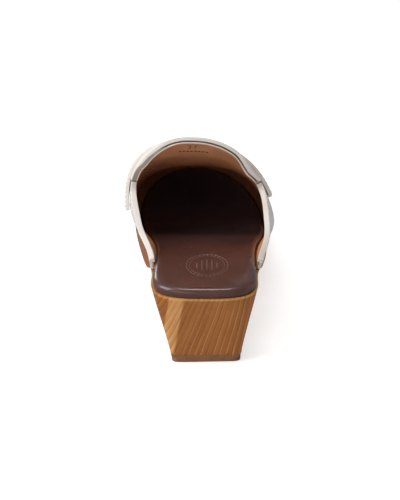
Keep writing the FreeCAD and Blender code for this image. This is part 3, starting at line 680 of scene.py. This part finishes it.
class Outline:
    """Matched columns round the plan: the k-th point faces the mirrored one across the shoe."""

    def __init__(self):
        self.turns = np.linspace(0, np.pi / 2, 46)[::-1]
        self.sides = np.array(SIDE_Y)[1:]
        self.fan = np.linspace(FAN, 0, 44)[1:]

    def half(self, side, z, margin, taper):
        """One side from the back of the heel to the toe tip; z is one number or one per column."""
        sizes = [len(self.turns), len(self.sides), len(self.fan)]
        z = np.broadcast_to(np.asarray(z, float), (sum(sizes),))
        fade = 1.0 if taper else 0.0
        spans = zip((self.heel_part, self.side_part, self.toe_part), np.split(z, np.cumsum(sizes)[:2]))
        parts = [part(side, heights, margin, fade) for part, heights in spans]
        return [np.concatenate(values) for values in zip(*parts)]

    def heel_part(self, side, z, margin, fade):
        drop = (1 - np.clip(z / HEEL_TOP_Z, 0, 1)) * fade
        square = HEEL_SQUARENESS + (HEEL_BOTTOM_SQUARENESS - HEEL_SQUARENESS) * drop
        back = HEEL_CENTRE_Y + margin(0.0) - HEEL_BACK_INSET * drop
        half = self.plan_width(side, HEEL_CENTRE_Y) + margin(HEEL_CENTRE_Y) - heel_inset(side, z) * fade
        across, behind = np.abs(np.cos(self.turns)) / half, np.sin(self.turns) / back
        reach = (across ** square + behind ** square) ** (-1 / square)
        x = side * reach * np.cos(self.turns)
        skew = np.tan(np.radians(HEEL_TURN_DEGREES * drop))
        return x, HEEL_CENTRE_Y - reach * np.sin(self.turns) + x * skew * np.sin(self.turns)

    def side_part(self, side, z, margin, fade):
        heel_share = 1 - smooth(BREAST_Y, HEEL_TAPER_END_Y, self.sides)
        inset = heel_inset(side, z) * heel_share + (undercut(z) + self.trim(side)) * (1 - heel_share)
        half = self.plan_width(side, self.sides) + margin(self.sides) - inset * fade
        return side * half, self.sides

    def toe_part(self, side, z, margin, fade):
        station = side * self.fan
        tip = wall_point(station, np.full_like(station, -INSOLE_STACK))
        near = wall_point(station + 0.5, np.full_like(station, -INSOLE_STACK))
        out = np.stack([tip[:, 1] - near[:, 1], near[:, 0] - tip[:, 0]], -1)
        out /= np.linalg.norm(out, axis=1, keepdims=True)
        cut = undercut(z) + self.trim(side) * smooth(0, FAN, self.fan)
        grow = margin(TOE_CENTRE_Y) - cut * fade
        return tip[:, 0] + out[:, 0] * grow, tip[:, 1] + out[:, 1] * grow

    @staticmethod
    def plan_width(side, y):
        return table(OUTER_HALF_WIDTH if side > 0 else INNER_HALF_WIDTH, y)

    @staticmethod
    def trim(side):
        return OUTER_SIDE_TRIM if side > 0 else 0.0


OUTLINE = Outline()


def cap_between(walls, level, across):
    """Grid of points between two matched walls at one of their levels."""
    share = np.linspace(0, 1, across)[None, :, None]
    return walls[0][:, None, level] * (1 - share) + walls[1][:, None, level] * share


def closed_body(walls, top, bottom):
    """Mesh of two matched side walls and the caps between them."""
    verts, faces, start = [], [], 0
    for grid, flip in ((walls[0], False), (walls[1], True), (top, False), (bottom, True)):
        faces += grid_faces(grid.shape[0], grid.shape[1], start, flip)
        verts.append(grid.reshape(-1, 3))
        start += len(verts[-1])
    return np.vstack(verts), faces


def sole_underside(y):
    arch_y, arch_z = UNDERSIDE[0]
    breast = LIFT_THICKNESS + (arch_z - LIFT_THICKNESS) * (y - BREAST_Y) / (arch_y - BREAST_Y)
    curve = np.where((y > TREAD_START_Y) & (y < TREAD_END_Y), TREAD_Z, table(UNDERSIDE, y))
    return np.where(y <= BREAST_Y + 1e-6, LIFT_THICKNESS, np.where(y < arch_y, breast, curve))


def sole_wall(side):
    """Columns of points up one side of the wood, from the underside to the foot bed."""
    y = OUTLINE.half(side, HEEL_TOP_Z, sole_margin, True)[1]
    top = bed_z(y) - INSOLE_STACK
    y = OUTLINE.half(side, UNDERSIDE_PLAN_Z, sole_margin, True)[1]
    bottom = sole_underside(y)
    columns = []
    for share in np.linspace(0, 1, SOLE_LEVELS):
        z = bottom + (top - bottom) * share
        x, y = OUTLINE.half(side, z, sole_margin, True)
        columns.append(np.stack([x, y, z], -1))
    return np.stack(columns, 1)


def build_sole():
    walls = [sole_wall(side) for side in (1, -1)]
    top, bottom = cap_between(walls, -1, SOLE_ACROSS), cap_between(walls, 0, SOLE_ACROSS)
    verts, faces = closed_body(walls, top, bottom)
    make("wooden_sole_body", verts, faces, WOOD, ("wooden_sole",), bevel=1.0,
         bevel_angle=40, weighted=True)
    for cad, material in (("heel_lift", LIFT), ("forepart_outsole", OUTSOLE), ("heel_lift_nails", STEEL)):
        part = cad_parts[cad]
        part.data.materials.clear()
        part.data.materials.append(material)


# Inset from the edge and drop below the top, up the rounded edge of the foot bed.
BED_EDGE = [(0.35, 5.9), (0.05, 5.0), (0.0, 3.6), (0.12, 2.5), (0.5, 1.5), (1.15, 0.7), (2.1, 0.2),
            (3.4, 0.0)]
# Place, reach and depth of the dips that a foot wears in the bed.
HEEL_DIP, FORE_DIP = (34, 26, 0.9), (165, 40, 0.5)


def dip(y, centre, reach, depth):
    return depth * np.exp(-((y - centre) / reach) ** 2)


def bed_wall(side):
    rings = []
    for inset, drop in BED_EDGE:
        x, y = OUTLINE.half(side, HEEL_TOP_Z, lambda _: -inset, False)
        rings.append(np.stack([x, y, bed_z(y) - drop], -1))
    return np.stack(rings, 1)


def build_foot_bed():
    walls = [bed_wall(side) for side in (1, -1)]
    top, bottom = cap_between(walls, -1, BED_ACROSS), cap_between(walls, 0, BED_ACROSS)
    hollow = np.sin(np.pi * np.linspace(0, 1, BED_ACROSS))[None, :] ** 1.2
    top[..., 2] -= hollow * (dip(top[..., 1], *HEEL_DIP) + dip(top[..., 1], *FORE_DIP))
    verts, faces = closed_body(walls, top, bottom)
    cover = make("sock_cover_pad", verts, faces, BROWN,
                 ("sock_cover", "insole_foam", "insole_board"))


# ---- marks ------------------------------------------------------------------
OVAL_X, OVAL_Y = 1.0, 36.0
# Half width, half length and line thickness of the two dashed ovals.
OVALS = [(12.5, 16.5, 0.2), (10.6, 14.4, 0.14)]
# Place across the oval, back end and front end of each bar.
BARS = [(-6.0, -4.5, 3.5), (-3.0, -8.0, 7.0), (0.0, -6.5, 8.5), (3.0, -8.0, 7.0), (6.0, -4.5, 3.5)]
SIZE_X, SIZE_Y, SIZE_WIDTH, SIZE_HEIGHT = -8.0, 109.5, 0.65, 0.9
SIZE_STROKES = [[(-4.2, 2.0), (-3.0, 2.6), (-1.6, 2.2), (-1.5, 1.0), (-2.8, 0.2), (-1.4, -0.6), (-1.5, -2.0),
                 (-3.0, -2.5), (-4.3, -1.8)],
                [(1.2, 2.4), (4.2, 2.4), (3.2, 0.2), (2.3, -2.5)]]
DASH_X, DASH_Y, DASH_LENGTH = -7.0, 115.0, 1.5


def on_bed(x, y, height):
    """Points laid on the dipped foot bed at places across it."""
    hollow = np.clip(1 - (x / 30) ** 2, 0, 1) ** 0.8
    return np.stack([x, y, bed_z(y) + height - dip(y, *HEEL_DIP) * hollow], -1)


def build_heel_mark():
    """A plain dashed oval with bars, pressed in the heel seat."""
    lines = []
    for start in np.arange(0, 360, 12):
        turn = np.radians(np.linspace(start, start + 8, 6))
        lines += [(across * np.cos(turn), along * np.sin(turn), thick) for across, along, thick in OVALS]
    for place, back, front in BARS:
        lines.append((np.full(12, place), np.linspace(back, front, 12), 0.2))
    parts = [tube(on_bed(OVAL_X + x, OVAL_Y + y, 0.02), thick, 6, (0.0, 0.0, 1.0)) for x, y, thick in lines]
    verts, faces = join_parts(parts)
    make("sock_emboss", verts, faces, EMBOSS)


def build_size_mark():
    """A size number over a row of dashes, on the lining under the tongue."""
    parts = []
    for stroke in SIZE_STROKES:
        line = resample([(x, y, 0) for x, y in stroke], 0.5)
        skin = drop_point(SIZE_X + line[:, 0] * SIZE_WIDTH, SIZE_Y - line[:, 1] * SIZE_HEIGHT)
        parts.append(tube(surface_line(skin, LINING_IN - 0.02), 0.2, 6))
    for start in np.arange(-9.5, 9.6, 2.4):
        x = DASH_X + np.linspace(start, start + DASH_LENGTH, 4)
        skin = drop_point(x, np.full_like(x, DASH_Y))
        parts.append(tube(surface_line(skin, LINING_IN - 0.05), 0.34, 6))
    verts, faces = join_parts(parts)
    make("size_mark", verts, faces, INK)


# ---- upper ------------------------------------------------------------------
def wall_floor(station):
    """Lower edge of the side leathers, just above the wood."""
    return np.full_like(station, -INSOLE_STACK + 0.4)


def strap_edge(degrees, end_y, top_y):
    return end_y + (top_y - end_y) * np.sin(np.radians(degrees)) ** 2


def strap_line(place):
    """A line along the strap, from its back edge at 0 to its front edge at 1."""
    def line(degrees):
        back = strap_edge(degrees, STRAP_END_BACK_Y, STRAP_BACK_Y)
        return back + (strap_edge(degrees, STRAP_END_FRONT_Y, STRAP_FRONT_Y) - back) * place
    return line


def surface_line(points, offset):
    return points + outward(points) * offset


def below_topline(drop):
    return lambda station: topline(station) - drop


def under_band(station):
    """Top of the side leathers: below the band, and up to the tongue ahead of it."""
    ahead = smooth(THROAT_Y + 4, THROAT_Y + 10, y_of(station))
    return topline(station) - BAND_DEPTH * (1 - ahead) - 0.05


def build_quarter(name, side):
    """One side leather with its lining, edge band and row of stitches."""
    back, seam = station_of(side, QUARTER_BACK_Y), station_of(side, SIDE_SEAM_Y)
    wall = wall_grid(back, seam, wall_floor, under_band, 60, 18)
    leather("quarter_" + name + "_hide", wall, LEATHER_IN, LEATHER_OUT, WHITE,
            ("quarter_" + name,), 0.4)
    leather("quarter_" + name + "_inside", wall, LINING_IN, LINING_OUT, TAN,
            ("quarter_lining_" + name,), 0.25)
    throat = station_of(side, THROAT_Y + 4)
    band = wall_grid(back, throat, below_topline(BAND_DEPTH), topline, 40, 4)
    leather("topline_band_" + name, band, LINING_IN - 0.7, LEATHER_OUT + 0.15, CREAM,
            ("topline_binding_" + name,), 1.0)
    row = wall_grid(back - side * 1.5, station_of(side, APRON_BACK_Y), below_topline(BAND_DEPTH + 1.6),
                    below_topline(BAND_DEPTH + 1.5), 120, 2)[:, 1]
    stitches("topline_stitch_" + name, surface_line(row, LEATHER_OUT))


def build_front():
    """The wall round the toe and the panel on top, with their linings."""
    reach = station_of(1, SIDE_SEAM_Y) - EDGE_GAP
    wall = wall_grid(-reach, reach, wall_floor, lambda station: seam_rise(station) - 0.3, 110, 20)
    leather("vamp_hide", wall, LEATHER_IN, LEATHER_OUT, WHITE, ("vamp",), 0.5)
    leather("vamp_inside", wall, LINING_IN, LINING_OUT, TAN, ("vamp_lining",), 0.2)
    apron = apron_grid(28, 40)
    leather("apron_hide", apron, LEATHER_IN, LEATHER_OUT, WHITE, ("apron",), 0.5)
    leather("apron_inside", apron, LINING_IN, LINING_OUT, TAN, ("apron_lining",), 0.2)


def build_tongue():
    """The padded tongue, the groove under it in painted shade, its lining, edge strip and turned-in corner;
    the corner's fold and the gaps beside the corners are dark pieces of painted shade.
    """
    tongue = tongue_grid(TONGUE_BACK_Y + 0.3, APRON_BACK_Y, 60, 16)
    leather("tongue_hide", tongue, TONGUE_IN + 0.55, tongue_roll(tongue), STRAP, ("tongue",),
            0.8)
    # The groove under the tongue's edge is a dark sheet of painted shade.
    groove = tongue_grid(TONGUE_BACK_Y + 1.0, APRON_BACK_Y, 60, 12)
    leather("tongue_groove_painted_shade", groove, LINING_OUT + 0.05, TONGUE_IN + 0.5, GROOVE_PAINTED_SHADE, (), 0)
    lining = tongue_grid(TONGUE_BACK_Y + 2.3, APRON_BACK_Y, 60, 12)
    leather("tongue_inside", lining, LINING_IN, LINING_OUT, TAN, ("tongue_lining",), 0.2)
    # The fold at the tongue's inner corner is coloured dark as painted shade.
    fold = tongue_grid(TONGUE_BACK_Y - 0.05, TONGUE_BACK_Y + 1.5, 30, 4, (0.0, 0.26))
    width = 1.05 + 2.5 * np.linspace(1, 0, 30)[:, None]
    leather("tongue_fold_painted_shade", fold, 1.0, width, FOLD_PAINTED_SHADE, (), 0.2)
    # Dark tubes of painted shade in the gaps where the tongue's corners meet the quarters.
    for name, end in (("medial", 0), ("lateral", -1)):
        corner = tongue_grid(TONGUE_BACK_Y + 0.1, TONGUE_BACK_Y + 0.2, 3, 2)[end][0]
        path = corner + outward(corner) * np.linspace(0.2, 4.3, 8)[:, None] - np.array([0, 0, 0.5])
        verts, faces = tube(path, 0.42, 8, (0.0, 1.0, 0.0))
        make("corner_gap_painted_shade_" + name, verts, faces, GROOVE_PAINTED_SHADE)
    edge = tongue_grid(TONGUE_BACK_Y, TONGUE_BACK_Y + 2.3, 60, 4)
    leather("tongue_edge_strip", edge, LINING_IN, 1.0, PALE, ("tongue_edge_binding",), 0.3)


def build_strap():
    strap = arch_grid(strap_line(0), strap_line(1), STRAP_OUTER_END, STRAP_INNER_END, 70, 10)
    leather("saddle_strap_hide", strap, STRAP_IN, STRAP_OUT, STRAP, ("saddle_strap",), 0.7)
    for name, place in (("back", 0.12), ("front", 0.88)):
        line = strap_line(place)
        row = arch_grid(line, line, STRAP_OUTER_END + 2, STRAP_INNER_END - 2, 160, 1)[:, 0]
        stitches("strap_stitch_" + name, surface_line(row, STRAP_OUT))


def build_apron_seam():
    """The raised seam round the apron, with stitches that cross over it."""
    reach = station_of(1, 126)
    seam = drop_point(*seam_plan(np.linspace(-reach, reach, 260)))
    verts, faces = tube(surface_line(seam, LEATHER_OUT - 0.35), 1.15, 10)
    make("apron_seam_ridge", verts, faces, WHITE)
    t = np.linspace(-1, 1, 9)
    height = LEATHER_OUT - 0.35 + 1.3 * np.cos(t * 1.15)
    parts = []
    for middle, along in steps_along(seam, 4.2):
        up = outward(middle[None])[0]
        across = np.cross(along, up)
        bar = middle + across * (t * 1.35)[:, None] + along * (t * 0.35)[:, None] + up * height[:, None]
        parts.append(tube(bar, 0.3, 6, along))
    verts, faces = join_parts(parts)
    make("apron_seam_stitch", verts, faces, THREAD)


# ---- stage, in metres -------------------------------------------------------
FLOOR_REACH, FLOOR_Z = 20, -0.0002
CAMERA_PLACE, CAMERA_AIM = Vector((0.000343, -1.3201, 0.66123)), Vector((0.000343, -0.06179, 0.047506))
CAMERA_LENS = 164.9
# Place, aim, size and power of each soft light.
LIGHTS = {
    "key": ((-1.4, -0.45, 1.1), (0, -0.02, 0.03), (1.3, 1.3), 22),
    "top": ((0.0, -0.1, 1.6), (0, 0, 0.03), (0.7, 0.5), 8),
    "rim": ((-0.75, 1.5, 0.5), (0, 0, 0.05), (0.5, 0.5), 3),
    "left": ((-1.3, 0.1, 0.35), (0, 0, 0.03), (0.6, 1.2), 1),
    "right": ((1.3, 0.2, 0.4), (0, 0, 0.03), (0.6, 1.2), 0.5),
    "fill": ((-0.6, -1.6, 0.35), (0, 0.05, 0.06), (1.0, 0.5), 2),
}


def put(name, data, place, aim):
    """A light or camera at a place, turned to look at another."""
    thing = bpy.data.objects.new(name, data)
    bpy.context.scene.collection.objects.link(thing)
    thing.location = place
    thing.rotation_euler = (Vector(aim) - Vector(place)).to_track_quat("-Z", "Y").to_euler()
    return thing


def build_floor():
    mesh = bpy.data.meshes.new("floor")
    corners = [(-1, -1), (1, -1), (1, 1), (-1, 1)]
    mesh.from_pydata([(x * FLOOR_REACH, y * FLOOR_REACH, FLOOR_Z) for x, y in corners], [], [(0, 1, 2, 3)])
    floor = bpy.data.objects.new("floor", mesh)
    bpy.context.scene.collection.objects.link(floor)
    pale = Recipe("pale_floor", (0.7, 0.7, 0.7), 0.7, Emission_Color=(1, 1, 1, 1), Emission_Strength=0.65)
    mesh.materials.append(pale.material)
    floor.visible_glossy = False


def build_studio():
    world = bpy.data.worlds.new("studio")
    bpy.context.scene.world = world
    world.use_nodes = True
    backdrop = world.node_tree.nodes["Background"]
    backdrop.inputs["Color"].default_value = (0.93, 0.96, 1, 1)
    backdrop.inputs["Strength"].default_value = 0.2
    for name, (place, aim, size, power) in LIGHTS.items():
        data = bpy.data.lights.new(name, "AREA")
        data.shape = "RECTANGLE"
        data.size, data.size_y = size
        data.energy = power
        put(name, data, place, aim)
    data = bpy.data.cameras.new("camera")
    data.sensor_width = 36
    data.lens = CAMERA_LENS
    data.clip_start, data.clip_end = 0.05, 60
    bpy.context.scene.camera = put("camera", data, CAMERA_PLACE, CAMERA_AIM)
    bpy.context.scene.view_settings.view_transform = "Standard"
    bpy.context.scene.view_settings.look = "None"


build_sole()
build_foot_bed()
build_heel_mark()
build_size_mark()
for side_name, side_sign in (("medial", -1), ("lateral", 1)):
    build_quarter(side_name, side_sign)
build_front()
build_tongue()
build_strap()
build_apron_seam()
build_floor()
build_studio()
